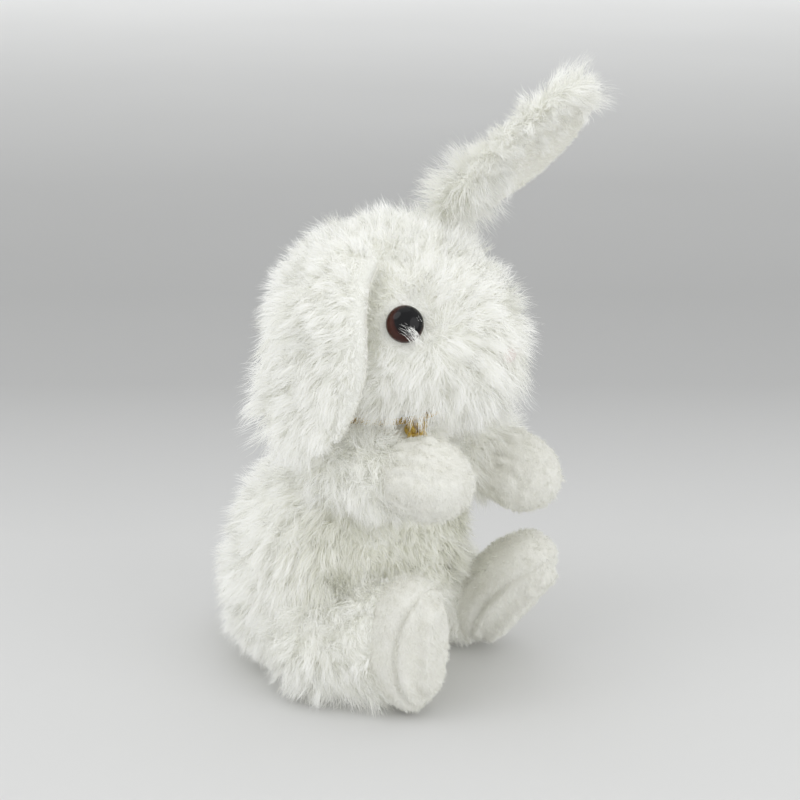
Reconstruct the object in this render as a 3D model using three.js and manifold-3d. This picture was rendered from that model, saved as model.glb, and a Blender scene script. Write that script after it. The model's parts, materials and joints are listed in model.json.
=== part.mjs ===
// Seated plush rabbit: long-pile fur body and head, short-plush paws and feet,
// one ear hanging and one ear raised, safety eyes, and a gold cord round the neck.
// Millimetres, +Z up. The rabbit looks along -Y, its left side is +X, and the
// origin is under the middle of the seat, on the surface that it sits on.

import * as THREE from 'three';
import { mergeVertices } from 'three/addons/utils/BufferGeometryUtils.js';
import Module from 'manifold-3d';

const wasm = await Module();
wasm.setup();

// ---------------------------------------------------------------- dimensions

const CLOTH = 2.4; // fur fabric with its dense underpile
const PLUSH = 1.8; // short-pile fabric of paws, feet and ear linings
const GAP = 0.3; // between neighbouring pieces
const LIMB_ROOM = 1.4; // between the torso and the limbs that swing in it
const BIG = 400; // cutting blocks

// torso: height, middle depth position, half width, half depth of each level
const TORSO = [
  [0, -5, 33, 31],
  [6, -4, 39, 36.5],
  [20, -3.5, 43, 38.5],
  [40, -5.5, 43.5, 40.5],
  [60, -10, 40.5, 38],
  [78, -15.5, 34, 31.5],
  [92, -20, 26, 25],
  [100, -21, 21.5, 20.5],
  [106, -22, 19.5, 19],
];
const BASE_LIP = 3; // height of the base panel's turned-up edge
const SIDE_SEAM_Y = -6; // the side seam between belly and back

const NECK = { x: 0, y: -22, z: 106 };
const HEAD = { centre: [0, -28, 136], radii: [41, 43, 34] };
const SNOUT = { centre: [0, -60, 127], radii: [22, 16, 16] };
const HEAD_CUT = NECK.z + 0.6; // level of the neck seam on the head's side
const GUSSET_HALF = 13; // half width of the strip over the crown
const GUSSET_FROM = 121; // the strip starts above this height

const EYE = { y: -53, z: 146, domeR: 6.5, domeH: 4.2, postR: 2.2, postL: 11 };
const WASHER = { r: 6, thick: 1.2, depth: 4.4 };
const NOSE = { centre: [0, -76, 131], radii: [4.2, 2.6, 3.2] };

const EAR = { length: 75, halfWidth: 18.5, rootHalf: 8, back: 2.6, lining: 2 };
const EAR_WIDEST = 0.55; // share of the length at which an ear is widest
const EAR_LEFT = {
  route: [[27, -33, 166.5], [28, -49, 184], [31, -67, 203], [33, -86, 223]],
  across: [0.95, 0, -0.31],
};
const EAR_RIGHT = {
  route: [
    [-28, -33, 166.5], [-36, -32, 161.5], [-43.5, -30, 150],
    [-46.5, -27.5, 136], [-47.5, -23.5, 118], [-48.5, -17, 97],
  ],
  across: [0, -1, 0],
};

const SHOULDER = { x: 30, y: -24.5, z: 88.5, r: 12 };
const ARM = { wristR: 12.5, paw: [15, 18.4, 16.2] };
const PAW_AT = { left: 41, right: 37 }; // paw's middle from the shoulder
const WRIST_BACK = 13; // wrist seam, back from the paw's middle
const ARM_ROOM = [-8, 11, 30]; // drops of an arm that the torso leaves room for
const ARM_DROP = { left: 18, right: -3 }; // degrees below level
const ARM_IN = { left: -2, right: 2 }; // degrees towards the middle

const HIP = { x: 31, y: -17, z: 19.5, r: 19 };
const HIP_CORNER = 9; // height of the torso's open corner behind each hip
const LEG = { ankle: 29, ankleR: 13.5 };
const FOOT = { sole: 11, power: 2.5 }; // power 2 is an ellipsoid, and more is boxier
const FOOT_SIZE = { left: [16, 16, 30], right: [14.5, 15.3, 27.3] }; // half sizes
const FOOT_AT = { left: 41.3, right: 38.8 }; // foot's middle from the hip
const FOOT_TILT = { left: 38, right: 3 }; // degrees, toes forward
const FOOT_START = 8; // where the thigh ends, back from the foot's middle

const TAIL = { centre: [0, 38, 24], r: 12 };
const CORD = { radius: 22.8, r: 1.3, z: 102.8, knotAt: -118, knot: [3.4, 2.4, 2.8] };

// ------------------------------------------------------------------ materials

function finish(color, roughness, metalness = 0) {
  return new THREE.MeshStandardMaterial({ color, roughness, metalness });
}
const FINISH = {
  fur: () => finish(0xe9eae0, 0.95),
  plush: () => finish(0xe2e1d2, 0.95),
  filling: () => finish(0xf7f7f5, 1),
  eye: () => finish(0x2a120c, 0.08),
  washer: () => finish(0xf2f2ee, 0.5),
  nose: () => finish(0xb98a83, 0.7),
  cord: () => finish(0xa8843c, 0.45, 0.6),
};

// -------------------------------------------------------------------- helpers

function solidOf(geometry) {
  const bare = geometry.clone();
  bare.deleteAttribute('normal');
  bare.deleteAttribute('uv');
  const merged = mergeVertices(bare, 1e-4);
  return new wasm.Manifold(new wasm.Mesh({
    numProp: 3,
    vertProperties: new Float32Array(merged.attributes.position.array),
    triVerts: new Uint32Array(merged.index.array),
  }));
}

const model = new THREE.Group();

function addPiece(name, solid, kind, group = model) {
  const mesh = solid.getMesh();
  const geometry = new THREE.BufferGeometry();
  const positions = new THREE.BufferAttribute(mesh.vertProperties, 3);
  geometry.setAttribute('position', positions);
  geometry.setIndex(new THREE.BufferAttribute(mesh.triVerts, 1));
  geometry.computeVertexNormals();
  const piece = new THREE.Mesh(geometry, FINISH[kind]());
  piece.name = name;
  group.add(piece);
}

// a block that fills the half space below `at` along one axis
function halfSpace(axis, at, side) {
  const block = new THREE.BoxGeometry(BIG, BIG, BIG);
  const shift = [0, 0, 0];
  shift[axis] = at + (side * BIG) / 2;
  block.translate(...shift);
  return solidOf(block);
}
const below = (axis, at) => halfSpace(axis, at, -1);
const above = (axis, at) => halfSpace(axis, at, 1);

function ellipsoid(centre, radii, inset = 0, around = 14, down = 8) {
  const ball = new THREE.SphereGeometry(1, around, down);
  ball.rotateX(Math.PI / 2);
  ball.scale(...radii.map((r) => r - inset));
  ball.translate(...centre);
  return solidOf(ball);
}

// closed loft through elliptical levels, from the lowest to the highest
function loft(levels, around = 20) {
  const points = [];
  const faces = [];
  for (const [z, y, rx, ry] of levels) {
    for (let i = 0; i < around; i += 1) {
      const a = (i / around) * 2 * Math.PI;
      points.push(rx * Math.cos(a), y + ry * Math.sin(a), z);
    }
  }
  const rows = levels.length;
  for (let j = 0; j < rows - 1; j += 1) {
    for (let i = 0; i < around; i += 1) {
      const a = j * around + i;
      const b = j * around + ((i + 1) % around);
      faces.push(a, b, b + around, a, b + around, a + around);
    }
  }
  const bottom = points.length / 3;
  points.push(0, levels[0][1], levels[0][0]);
  const top = bottom + 1;
  points.push(0, levels[rows - 1][1], levels[rows - 1][0]);
  const last = (rows - 1) * around;
  for (let i = 0; i < around; i += 1) {
    const next = (i + 1) % around;
    faces.push(bottom, next, i, top, last + i, last + next);
  }
  const geometry = new THREE.BufferGeometry();
  geometry.setAttribute('position', new THREE.Float32BufferAttribute(points, 3));
  geometry.setIndex(faces);
  return solidOf(geometry);
}

// a turned body along -Y: profile rows are [distance, radius]
function turned(profile, around = 14) {
  const line = profile.map(([t, r]) => new THREE.Vector2(Math.max(r, 0), t));
  const geometry = new THREE.LatheGeometry(line, around);
  geometry.rotateX(Math.PI);
  return solidOf(geometry);
}

// profile rows of the half ball of radius r that starts a limb
function roundStart(r, steps = 4) {
  const rows = [];
  for (let i = 0; i <= steps; i += 1) {
    const a = ((i / steps) * Math.PI) / 2;
    rows.push([-r * Math.cos(a), r * Math.sin(a)]);
  }
  return rows;
}

const radians = THREE.MathUtils.degToRad;
const SIDES = { left: 1, right: -1 };

// ---------------------------------------------------------------------- torso

function torsoSolid(inset) {
  const levels = TORSO.map(([z, y, rx, ry]) => [z, y, rx - inset, ry - inset]);
  levels[0][0] += inset;
  levels[levels.length - 1][0] -= inset;
  return loft(levels);
}

// room in the torso for the shoulder balls, hip balls, thighs and swinging arms
function limbRoom(clearance) {
  let room = null;
  for (const side of Object.values(SIDES)) {
    for (const { x, y, z, r } of [SHOULDER, HIP]) {
      const size = r + clearance;
      const ball = ellipsoid([side * x, y, z], [size, size, size]);
      room = room ? room.add(ball) : ball;
    }
    const reach = HIP.r + clearance;
    const thigh = new THREE.CylinderGeometry(reach, reach, 80, 14);
    thigh.translate(side * HIP.x, HIP.y - 40, HIP.z);
    const under = new THREE.BoxGeometry(2 * reach, 80, HIP.z + 1);
    under.translate(side * HIP.x, HIP.y - 40, (HIP.z - 1) / 2);
    const corner = new THREE.BoxGeometry(2 * reach, 80, 2 * HIP_CORNER);
    corner.translate(side * HIP.x, SIDE_SEAM_Y + 1 - 40, 0);
    const parts = [thigh, under, corner];
    for (const drop of ARM_ROOM) {
      const width = ARM.wristR + clearance + 1;
      const arm = new THREE.CylinderGeometry(width, width, 60, 10);
      arm.translate(0, -30, 0);
      arm.rotateX(radians(drop));
      arm.translate(side * SHOULDER.x, SHOULDER.y, SHOULDER.z);
      parts.push(arm);
    }
    for (const part of parts) room = room.add(solidOf(part));
  }
  return room;
}

function makeTorso() {
  const room = limbRoom(LIMB_ROOM);
  const skin = torsoSolid(0).subtract(torsoSolid(CLOTH)).subtract(room);
  const wall = skin.intersect(above(2, BASE_LIP + GAP));
  addPiece('base_panel', skin.intersect(below(2, BASE_LIP)), 'fur');
  addPiece('belly_panel', wall.intersect(below(1, SIDE_SEAM_Y - GAP / 2)), 'fur');
  addPiece('back_panel', wall.intersect(above(1, SIDE_SEAM_Y + GAP / 2)), 'fur');
  addPiece('body_stuffing', torsoSolid(CLOTH + GAP).subtract(room), 'filling');
}

function makeTail() {
  const reach = [TAIL.r, TAIL.r, TAIL.r];
  const ball = (inset) => ellipsoid(TAIL.centre, reach, inset, 12, 7).subtract(torsoSolid(-GAP));
  const inner = ellipsoid(TAIL.centre, reach, CLOTH, 12, 7);
  addPiece('tail_cover', ball(0).subtract(inner), 'fur');
  addPiece('tail_stuffing', ball(CLOTH + GAP), 'filling');
}

// ----------------------------------------------------------------------- head

function headSolid(inset) {
  const skull = ellipsoid(HEAD.centre, HEAD.radii, inset, 20, 12);
  const snout = ellipsoid(SNOUT.centre, SNOUT.radii, inset, 14, 8);
  return skull.add(snout);
}

// matrix that puts a piece made along +Z onto the head at an eye
function eyePlace(side) {
  const [rx, ry, rz] = HEAD.radii;
  const dy = EYE.y - HEAD.centre[1];
  const dz = EYE.z - HEAD.centre[2];
  const x = rx * Math.sqrt(1 - (dy / ry) ** 2 - (dz / rz) ** 2);
  const out = new THREE.Vector3((side * x) / rx ** 2, dy / ry ** 2, dz / rz ** 2).normalize();
  const turn = new THREE.Quaternion().setFromUnitVectors(new THREE.Vector3(0, 0, 1), out);
  const at = new THREE.Vector3(side * x, EYE.y, EYE.z);
  return new THREE.Matrix4().compose(at, turn, new THREE.Vector3(1, 1, 1));
}

// a turned piece about an eye's own axis: profile rows are [radius, height]
function eyeTurned(profile, side, around = 16) {
  const line = profile.map(([r, h]) => new THREE.Vector2(r, h));
  const geometry = new THREE.LatheGeometry(line, around);
  geometry.rotateX(Math.PI / 2);
  geometry.applyMatrix4(eyePlace(side));
  return solidOf(geometry);
}

function eyeProfile() {
  const rows = [[0, -EYE.postL], [EYE.postR, -EYE.postL], [EYE.postR, GAP], [EYE.domeR, GAP]];
  const steps = 4;
  for (let i = 1; i <= steps; i += 1) {
    const a = ((i / steps) * Math.PI) / 2;
    rows.push([EYE.domeR * Math.cos(a), GAP + EYE.domeH * Math.sin(a)]);
  }
  rows[rows.length - 1][0] = 0;
  return rows;
}

function makeHead() {
  const aboveNeck = above(2, HEAD_CUT);
  let skin = headSolid(0).subtract(headSolid(CLOTH)).intersect(aboveNeck);
  let filling = headSolid(CLOTH + GAP).intersect(aboveNeck);
  for (const [name, side] of Object.entries(SIDES)) {
    const hole = EYE.postR + GAP;
    const pocket = WASHER.r + GAP;
    const floor = -WASHER.depth - WASHER.thick - GAP;
    const post = [[0, -EYE.postL - GAP], [hole, -EYE.postL - GAP], [hole, 3], [0, 3]];
    const washerRoom = [[0, floor], [pocket, floor], [pocket, 0], [0, 0]];
    const washer = [
      [hole, -WASHER.depth - WASHER.thick], [WASHER.r, -WASHER.depth - WASHER.thick],
      [WASHER.r, -WASHER.depth], [hole, -WASHER.depth], [hole, -WASHER.depth - WASHER.thick],
    ];
    skin = skin.subtract(eyeTurned(post, side, 8));
    filling = filling.subtract(eyeTurned(post, side, 8)).subtract(eyeTurned(washerRoom, side, 12));
    addPiece(`eye_${name}`, eyeTurned(eyeProfile(), side), 'eye');
    addPiece(`eye_washer_${name}`, eyeTurned(washer, side, 12), 'washer');
  }
  const strip = new THREE.BoxGeometry(2 * GUSSET_HALF, BIG, BIG);
  strip.translate(0, 0, GUSSET_FROM + BIG / 2);
  const stripRoom = new THREE.BoxGeometry(2 * (GUSSET_HALF + GAP), BIG, BIG);
  stripRoom.translate(0, 0, GUSSET_FROM - GAP + BIG / 2);
  const sides = skin.subtract(solidOf(stripRoom));
  addPiece('head_gusset', skin.intersect(solidOf(strip)), 'fur');
  addPiece('head_side_left', sides.intersect(above(0, GAP / 2)), 'fur');
  addPiece('head_side_right', sides.intersect(below(0, -GAP / 2)), 'fur');
  addPiece('head_stuffing', filling, 'filling');
  const nose = ellipsoid(NOSE.centre, NOSE.radii, 0, 10, 6);
  addPiece('nose', nose.subtract(headSolid(-GAP)), 'nose');
}

// ----------------------------------------------------------------------- ears

function earHalfWidth(t) {
  const { halfWidth, rootHalf } = EAR;
  if (t < EAR_WIDEST) {
    const s = t / EAR_WIDEST;
    return rootHalf + (halfWidth - rootHalf) * s * s * (3 - 2 * s);
  }
  const s = (t - EAR_WIDEST) / (1 - EAR_WIDEST);
  return halfWidth * Math.sqrt(1 - s ** 2.4);
}

// one fabric layer of an ear, between two offsets from the middle surface
function earLayer({ route, across }, from, to) {
  const STATIONS = 11;
  const ACROSS = 4;
  const CUP = 2.5; // how far the edges curl towards the lining
  const curve = new THREE.CatmullRomCurve3(route.map((p) => new THREE.Vector3(...p)));
  const whole = curve.getLength();
  const points = [];
  for (let i = 0; i <= STATIONS; i += 1) {
    const t = Math.min(i / STATIONS, 0.99);
    const u = (t * EAR.length) / whole;
    const centre = curve.getPointAt(Math.min(u, 1));
    const along = curve.getTangentAt(Math.min(u, 1));
    const side = new THREE.Vector3(...across);
    side.addScaledVector(along, -side.dot(along)).normalize();
    const facing = new THREE.Vector3().crossVectors(side, along);
    const half = earHalfWidth(t);
    for (const offset of [from, to]) {
      for (let k = 0; k <= ACROSS; k += 1) {
        const s = (2 * k) / ACROSS - 1;
        const curl = CUP * s * s * (half / EAR.halfWidth);
        const p = centre.clone().addScaledVector(side, s * half);
        p.addScaledVector(facing, offset + curl);
        points.push(p.x, p.y, p.z);
      }
    }
  }
  const ring = 2 * (ACROSS + 1);
  const order = [];
  for (let k = 0; k <= ACROSS; k += 1) order.push(k);
  for (let k = ACROSS; k >= 0; k -= 1) order.push(ACROSS + 1 + k);
  const faces = [];
  for (let i = 0; i < STATIONS; i += 1) {
    for (let k = 0; k < ring; k += 1) {
      const a = i * ring + order[k];
      const b = i * ring + order[(k + 1) % ring];
      faces.push(a, b + ring, b, a, a + ring, b + ring);
    }
  }
  const last = STATIONS * ring;
  for (let k = 0; k < ACROSS; k += 1) {
    const a = k;
    const b = k + 1;
    const c = ACROSS + 1 + k;
    faces.push(a, b, c + 1, a, c + 1, c);
    faces.push(last + a, last + c + 1, last + b, last + a, last + c, last + c + 1);
  }
  const geometry = new THREE.BufferGeometry();
  geometry.setAttribute('position', new THREE.Float32BufferAttribute(points, 3));
  geometry.setIndex(faces);
  return solidOf(geometry);
}

function makeEar(name, shape) {
  addPiece(`ear_${name}_back`, earLayer(shape, -GAP / 2 - EAR.back, -GAP / 2), 'fur');
  addPiece(`ear_${name}_lining`, earLayer(shape, GAP / 2, GAP / 2 + EAR.lining), 'plush');
}

// ----------------------------------------------------------------------- arms

// the arm lies along -Y from its shoulder ball
function armSolid(name, inset) {
  const end = PAW_AT[name] - WRIST_BACK + 4;
  const sleeve = turned([...roundStart(SHOULDER.r - inset), [end, ARM.wristR - inset], [end, 0]]);
  return sleeve.add(ellipsoid([0, -PAW_AT[name], 0], ARM.paw, inset, 14, 10));
}

function makeArm(name) {
  const arm = new THREE.Group();
  arm.position.set(SIDES[name] * SHOULDER.x, SHOULDER.y, SHOULDER.z);
  arm.rotation.set(radians(ARM_DROP[name]), 0, radians(-SIDES[name] * ARM_IN[name]), 'ZXY');
  model.add(arm);
  const outer = armSolid(name, 0);
  const skin = outer.subtract(armSolid(name, CLOTH));
  const paw = outer.subtract(armSolid(name, PLUSH));
  const wrist = WRIST_BACK - PAW_AT[name];
  const sleeve = skin.intersect(above(1, wrist + GAP / 2));
  addPiece(`arm_${name}_sleeve`, sleeve, 'fur', arm);
  addPiece(`arm_${name}_paw`, paw.intersect(below(1, wrist - GAP / 2)), 'plush', arm);
  addPiece(`arm_${name}_stuffing`, armSolid(name, CLOTH + GAP), 'filling', arm);
}

// ----------------------------------------------------------------------- legs

// the foot's own axes are turned by its tilt, and its heel rests on the floor
function footPlace(name) {
  const tilt = radians(FOOT_TILT[name]);
  const [, ry, rz] = FOOT_SIZE[name];
  const dual = FOOT.power / (FOOT.power - 1);
  const reach = ((rz * Math.cos(tilt)) ** dual + (ry * Math.sin(tilt)) ** dual) ** (1 / dual);
  const lift = reach - HIP.z + GAP;
  const at = new THREE.Matrix4().makeTranslation(0, -FOOT_AT[name], lift);
  return at.multiply(new THREE.Matrix4().makeRotationX(tilt));
}

function footSolid(name, inset, front) {
  const ball = new THREE.SphereGeometry(1, 16, 12);
  ball.rotateX(Math.PI / 2);
  const at = ball.attributes.position;
  for (let i = 0; i < at.count; i += 1) {
    const p = [at.getX(i), at.getY(i), at.getZ(i)];
    const sum = p.reduce((total, v) => total + Math.abs(v) ** FOOT.power, 0);
    at.setXYZ(i, ...p.map((v) => v * sum ** (-1 / FOOT.power)));
  }
  ball.scale(...FOOT_SIZE[name].map((r) => r - inset));
  ball.applyMatrix4(footPlace(name));
  return solidOf(ball).intersect(soleSide(name, front, 1));
}

// everything behind (side 1) or in front of (side -1) a plane parallel to the sole
function soleSide(name, at, side) {
  const block = new THREE.BoxGeometry(BIG, BIG, BIG);
  block.translate(0, at + (side * BIG) / 2, 0);
  block.applyMatrix4(footPlace(name));
  return solidOf(block);
}

function legSolid(name, inset, front) {
  const end = FOOT_AT[name] - FOOT_START;
  const thigh = turned([...roundStart(HIP.r - inset), [end, LEG.ankleR - inset], [end, 0]]);
  return thigh.add(footSolid(name, inset, front));
}

function makeLeg(name) {
  const leg = new THREE.Group();
  leg.position.set(SIDES[name] * HIP.x, HIP.y, HIP.z);
  model.add(leg);
  const outer = legSolid(name, 0, -FOOT.sole);
  const beyondAnkle = below(1, -LEG.ankle - GAP / 2);
  const skin = outer.subtract(legSolid(name, CLOTH, -FOOT.sole + CLOTH));
  const cover = outer.subtract(legSolid(name, PLUSH, -FOOT.sole + PLUSH)).intersect(beyondAnkle);
  const sole = outer.intersect(soleSide(name, -FOOT.sole + PLUSH, -1)).intersect(beyondAnkle);
  const upper = cover.intersect(soleSide(name, -FOOT.sole + PLUSH + GAP, 1));
  addPiece(`leg_${name}_sleeve`, skin.intersect(above(1, -LEG.ankle + GAP / 2)), 'fur', leg);
  addPiece(`foot_${name}_upper`, upper, 'plush', leg);
  addPiece(`foot_${name}_sole`, sole, 'plush', leg);
  const filling = legSolid(name, CLOTH + GAP, -FOOT.sole + PLUSH + GAP);
  addPiece(`leg_${name}_stuffing`, filling, 'filling', leg);
}

// ------------------------------------------------------------------ neck cord

function makeNeckCord() {
  const SIDES_ROUND = 8;
  const section = [];
  for (let i = 0; i <= SIDES_ROUND; i += 1) {
    const a = -(i / SIDES_ROUND) * 2 * Math.PI;
    section.push(new THREE.Vector2(CORD.radius + CORD.r * Math.cos(a), -CORD.r * Math.sin(a)));
  }
  section[SIDES_ROUND].copy(section[0]);
  const ring = new THREE.LatheGeometry(section, 28);
  ring.rotateX(Math.PI / 2);
  ring.translate(NECK.x, NECK.y, CORD.z);
  const a = radians(CORD.knotAt);
  const out = CORD.radius + 1;
  const at = [NECK.x + out * Math.cos(a), NECK.y + out * Math.sin(a), CORD.z - 0.3];
  const knot = ellipsoid(at, CORD.knot, 0, 12, 8);
  addPiece('neck_cord', solidOf(ring).add(knot), 'cord');
}

makeTorso();
makeTail();
makeHead();
makeEar('left', EAR_LEFT);
makeEar('right', EAR_RIGHT);
for (const name of Object.keys(SIDES)) {
  makeArm(name);
  makeLeg(name);
}
makeNeckCord();

export default model;
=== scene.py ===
"""Looks of a seated plush rabbit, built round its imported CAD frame.

Each body gets a swollen fabric skin, and the long pile and the short plush are real strands that
grow on those skins. Metres, +Z up. The rabbit looks along -Y, and its left is +X.
"""

import json
import math

import bmesh
import bpy
import numpy as np
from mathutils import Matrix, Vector, kdtree
from mathutils.bvhtree import BVHTree


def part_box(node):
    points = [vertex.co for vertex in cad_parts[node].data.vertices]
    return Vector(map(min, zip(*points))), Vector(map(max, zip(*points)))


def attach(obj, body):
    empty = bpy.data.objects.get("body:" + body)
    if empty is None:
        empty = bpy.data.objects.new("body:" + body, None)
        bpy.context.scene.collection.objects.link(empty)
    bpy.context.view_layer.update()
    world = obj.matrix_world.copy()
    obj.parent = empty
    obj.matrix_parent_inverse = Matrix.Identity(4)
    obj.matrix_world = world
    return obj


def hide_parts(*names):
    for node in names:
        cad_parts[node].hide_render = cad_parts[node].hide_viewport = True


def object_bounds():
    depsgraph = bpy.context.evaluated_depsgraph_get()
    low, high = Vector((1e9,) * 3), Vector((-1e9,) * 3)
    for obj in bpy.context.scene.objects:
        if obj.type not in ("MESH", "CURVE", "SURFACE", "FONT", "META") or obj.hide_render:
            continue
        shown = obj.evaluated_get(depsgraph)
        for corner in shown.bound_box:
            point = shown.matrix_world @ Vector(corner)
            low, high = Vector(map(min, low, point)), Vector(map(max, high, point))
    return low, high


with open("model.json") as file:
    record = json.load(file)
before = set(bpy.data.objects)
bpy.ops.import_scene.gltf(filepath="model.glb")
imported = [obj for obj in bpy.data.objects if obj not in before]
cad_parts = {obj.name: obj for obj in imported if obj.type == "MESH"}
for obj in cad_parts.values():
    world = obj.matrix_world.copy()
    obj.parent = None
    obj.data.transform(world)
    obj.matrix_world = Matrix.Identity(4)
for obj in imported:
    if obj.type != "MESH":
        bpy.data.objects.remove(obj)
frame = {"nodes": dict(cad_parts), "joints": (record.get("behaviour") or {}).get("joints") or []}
cad_low, cad_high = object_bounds()

MM = 0.001
SIDES = {"left": 1, "right": -1}
DOWN = np.array((0.0, 0.0, -1.0))
UP = -DOWN

# camera, at the photograph's angle
AZIMUTH, ELEVATION = math.radians(-57), math.radians(18)
LOOKS_AT = Vector((9, -25, 103)) * MM
DISTANCE = 0.700
LENS, SENSOR = 84.7, 36

# light: each lamp's place away from the camera, aside and up, its size and its power
SKY = (0.975, 0.985, 0.98, 1)
SKY_LIGHT = 0.87
LAMPS = {
    "key": ((-0.7, -1.0, 1.6), 1.3, 6.0),
    "top": ((0.2, -0.1, 2.0), 1.8, 2.5),
    "fill": ((-1.1, 1.2, 0.5), 1.6, 6.0),
}
LIGHT_BOUNCES = 10  # white pile passes light on many times

# stage
SWEEP_AT, SWEEP_RADIUS, SWEEP_TOP, STAGE_HALF = 3.2, 0.9, 4.0, 5.0
FLOOR_FROM, FLOOR_TO = -0.3, 3.7  # depths between which the floor's painted light and shade change
# sRGB greys of the floor at shares of that depth: painted shade in a darker band, painted light further
# off
FLOOR_SHADES = [(0.0, 222), (0.1, 214), (0.16, 183), (0.21, 178), (0.3, 188), (0.41, 207), (0.67, 247)]

# skins
TORSO_VOXEL, LIMB_VOXEL, NOSE_VOXEL = 3 * MM, 2 * MM, 0.7 * MM
SIM_SCALE = 10.0  # the cloth solver suits pieces this much larger
SIM_FRAMES = 20
PRESSURE = 4.0
MOST_SWELL = 1.5  # times the wanted swell
EAR_RIM_ANGLE = 0.8  # radians between the faces at an ear's rim
EAR_MEETS = 0.8 * MM
EAR_SWELL = 0.3 * MM  # closes the gap between an ear's layers
PINCH = 1.6 * MM  # depth of the limb seams under the CAD surface
LIMB_SWELL = 1.4 * MM
SOLE_BOW = 8 * MM  # how far a sole's seam bows back
SOLE_GROOVE = 1.6 * MM
SEAM_REACH = 1.2 * MM  # skin this near to a seam is held by its stitches while the rest swells
FOOT_TILT = {"left": math.radians(38), "right": math.radians(3)}  # toes forward

# eyes and cord
PUPIL_SHIFT = 0.24  # share of the eye's radius, towards the nose and up
EYE_SINKS = 1.6 * MM  # depth of the dome's edge in the fabric
CORD_THICK = 1.3 * MM
CORD_TURNS, CORD_STEPS = 42, 420
KNOT_AT = math.radians(-118)
KNOT_OUT, KNOT_LOW = 4.2 * MM, 1.5 * MM  # from the cord's ring
KNOT_SIZE = np.array((1.2, 1.0, 1.4)) * MM  # along the cord, up and out
KNOT_THICK, END_THICK, END_LENGTH = 1.15 * MM, 0.8 * MM, 7 * MM

# pile lengths and clearances
HEAD_PILE, BODY_PILE, BELLY_PILE, LEG_PILE, TAIL_PILE = 12 * MM, 14 * MM, 5.5 * MM, 13 * MM, 10 * MM
ARM_PILE = {"left": 16 * MM, "right": 12.5 * MM}
SOCKET_PILE = 2 * MM
EYE_CLEAR = 6.3 * MM
KNOT_CLEAR = 10.5 * MM
WISP_START, WISP_REACH = 9.5 * MM, 3.0 * MM
ROOT_DEPTH = 0.3 * MM
FLOOR_GAP = 0.4 * MM
PROUD = 12.5 * MM  # the furthest that pile stands out of the CAD box
MOST_STRANDS = 27000  # in one piece
EAR_JOINT = {"left": "ear_left_fold", "right": "ear_right_lift"}
EAR_BINS = 12

# Strands are gathered into locks, and locks into tufts. lift is how steeply they leave the skin,
# and softness is the share of the skin's own normal in the shading of a strand.
LONG = dict(
    density=4.2e6,
    length=14 * MM,
    width=0.2 * MM,
    steps=4,
    softness=0.7,
    lift=1.0,
    droop=0.14,
    wave=(1.4, 0.58),  # turns and size
    per_lock=7,
    per_tuft=10,
    tuft_stray=0.45,
    lock_stray=0.26,
    stray=0.3,
    tuft_gather=0.6,
    lock_gather=0.62,
)
SHORT = dict(
    LONG,
    density=5.5e6,
    length=2.2 * MM,
    width=0.13 * MM,
    steps=2,
    softness=0.15,
    droop=0.02,
    wave=(0.6, 0.15),
    per_lock=8,
    per_tuft=6,
    tuft_stray=0.25,
    lock_stray=0.2,
    stray=0.25,
    tuft_gather=0.3,
    lock_gather=0.5,
)
WISP = dict(
    LONG,
    density=3.2e6,
    length=13 * MM,
    lift=0.85,
    droop=0.02,
    wave=(1.3, 0.4),
    per_lock=6,
    per_tuft=3,
    tuft_stray=0.15,
    lock_stray=0.15,
    stray=0.15,
    lock_gather=0.85,
)
EAR_LONG = dict(LONG, density=5e6)  # an ear is thin, so its pile is denser
PLUSH_WAY = np.array((0.0, -0.7, -1.1))


# ---- small helpers


def unit(rows):
    """Rows scaled to length 1."""
    rows = np.asarray(rows, float)
    return rows / np.maximum(np.linalg.norm(rows, axis=-1, keepdims=True), 1e-12)


def smooth_step(x, low, high):
    t = np.clip((x - low) / (high - low), 0, 1)
    return t * t * (3 - 2 * t)


def add_object(name, mesh):
    made = bpy.data.objects.new(name, mesh)
    bpy.context.scene.collection.objects.link(made)
    return made


def make_mesh(name, verts, faces):
    """Smooth object of these vertices and faces."""
    mesh = bpy.data.meshes.new(name)
    mesh.from_pydata(verts, [], faces)
    return shade_smooth(add_object(name, mesh))


def made_of(work, name):
    """Object of a finished bmesh."""
    mesh = bpy.data.meshes.new(name)
    work.to_mesh(mesh)
    work.free()
    return add_object(name, mesh)


def numbers(rows, key, kind=float):
    """Three values of each row of mesh data, such as the places of vertices."""
    out = np.empty(len(rows) * 3, kind)
    rows.foreach_get(key, out)
    return out.reshape(-1, 3)


def points_of(obj):
    return numbers(obj.data.vertices, "co")


def set_points(obj, points):
    obj.data.vertices.foreach_set("co", np.asarray(points, np.float32).ravel())
    obj.data.update()


def normals_of(obj):
    return numbers(obj.data.vertices, "normal")


def face_middles(obj):
    return numbers(obj.data.polygons, "center")


def gap_to(point, points):
    """Distance from a point to each of the points."""
    return np.linalg.norm(points - point, axis=1)


def middle(node):
    """Middle of a CAD node's box."""
    low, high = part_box(node)
    return np.array((low + high) / 2)


def joint_at(name):
    return np.array(Vector(next(j["pos_m"] for j in frame["joints"] if j["name"] == name)))


def baked(obj):
    """obj with its modifiers applied."""
    graph = bpy.context.evaluated_depsgraph_get()
    mesh = bpy.data.meshes.new_from_object(obj.evaluated_get(graph))
    obj.modifiers.clear()
    old, obj.data = obj.data, mesh
    mesh.name = obj.name
    bpy.data.meshes.remove(old)
    return obj


def subdivided(obj, levels):
    rounder = obj.modifiers.new("rounder", "SUBSURF")
    rounder.levels = rounder.render_levels = levels
    return baked(obj)


def shade_smooth(obj):
    obj.data.polygons.foreach_set("use_smooth", np.ones(len(obj.data.polygons), bool))
    return obj


def tree_of(obj):
    return BVHTree.FromPolygons(
        [v.co for v in obj.data.vertices], [p.vertices[:] for p in obj.data.polygons]
    )


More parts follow.
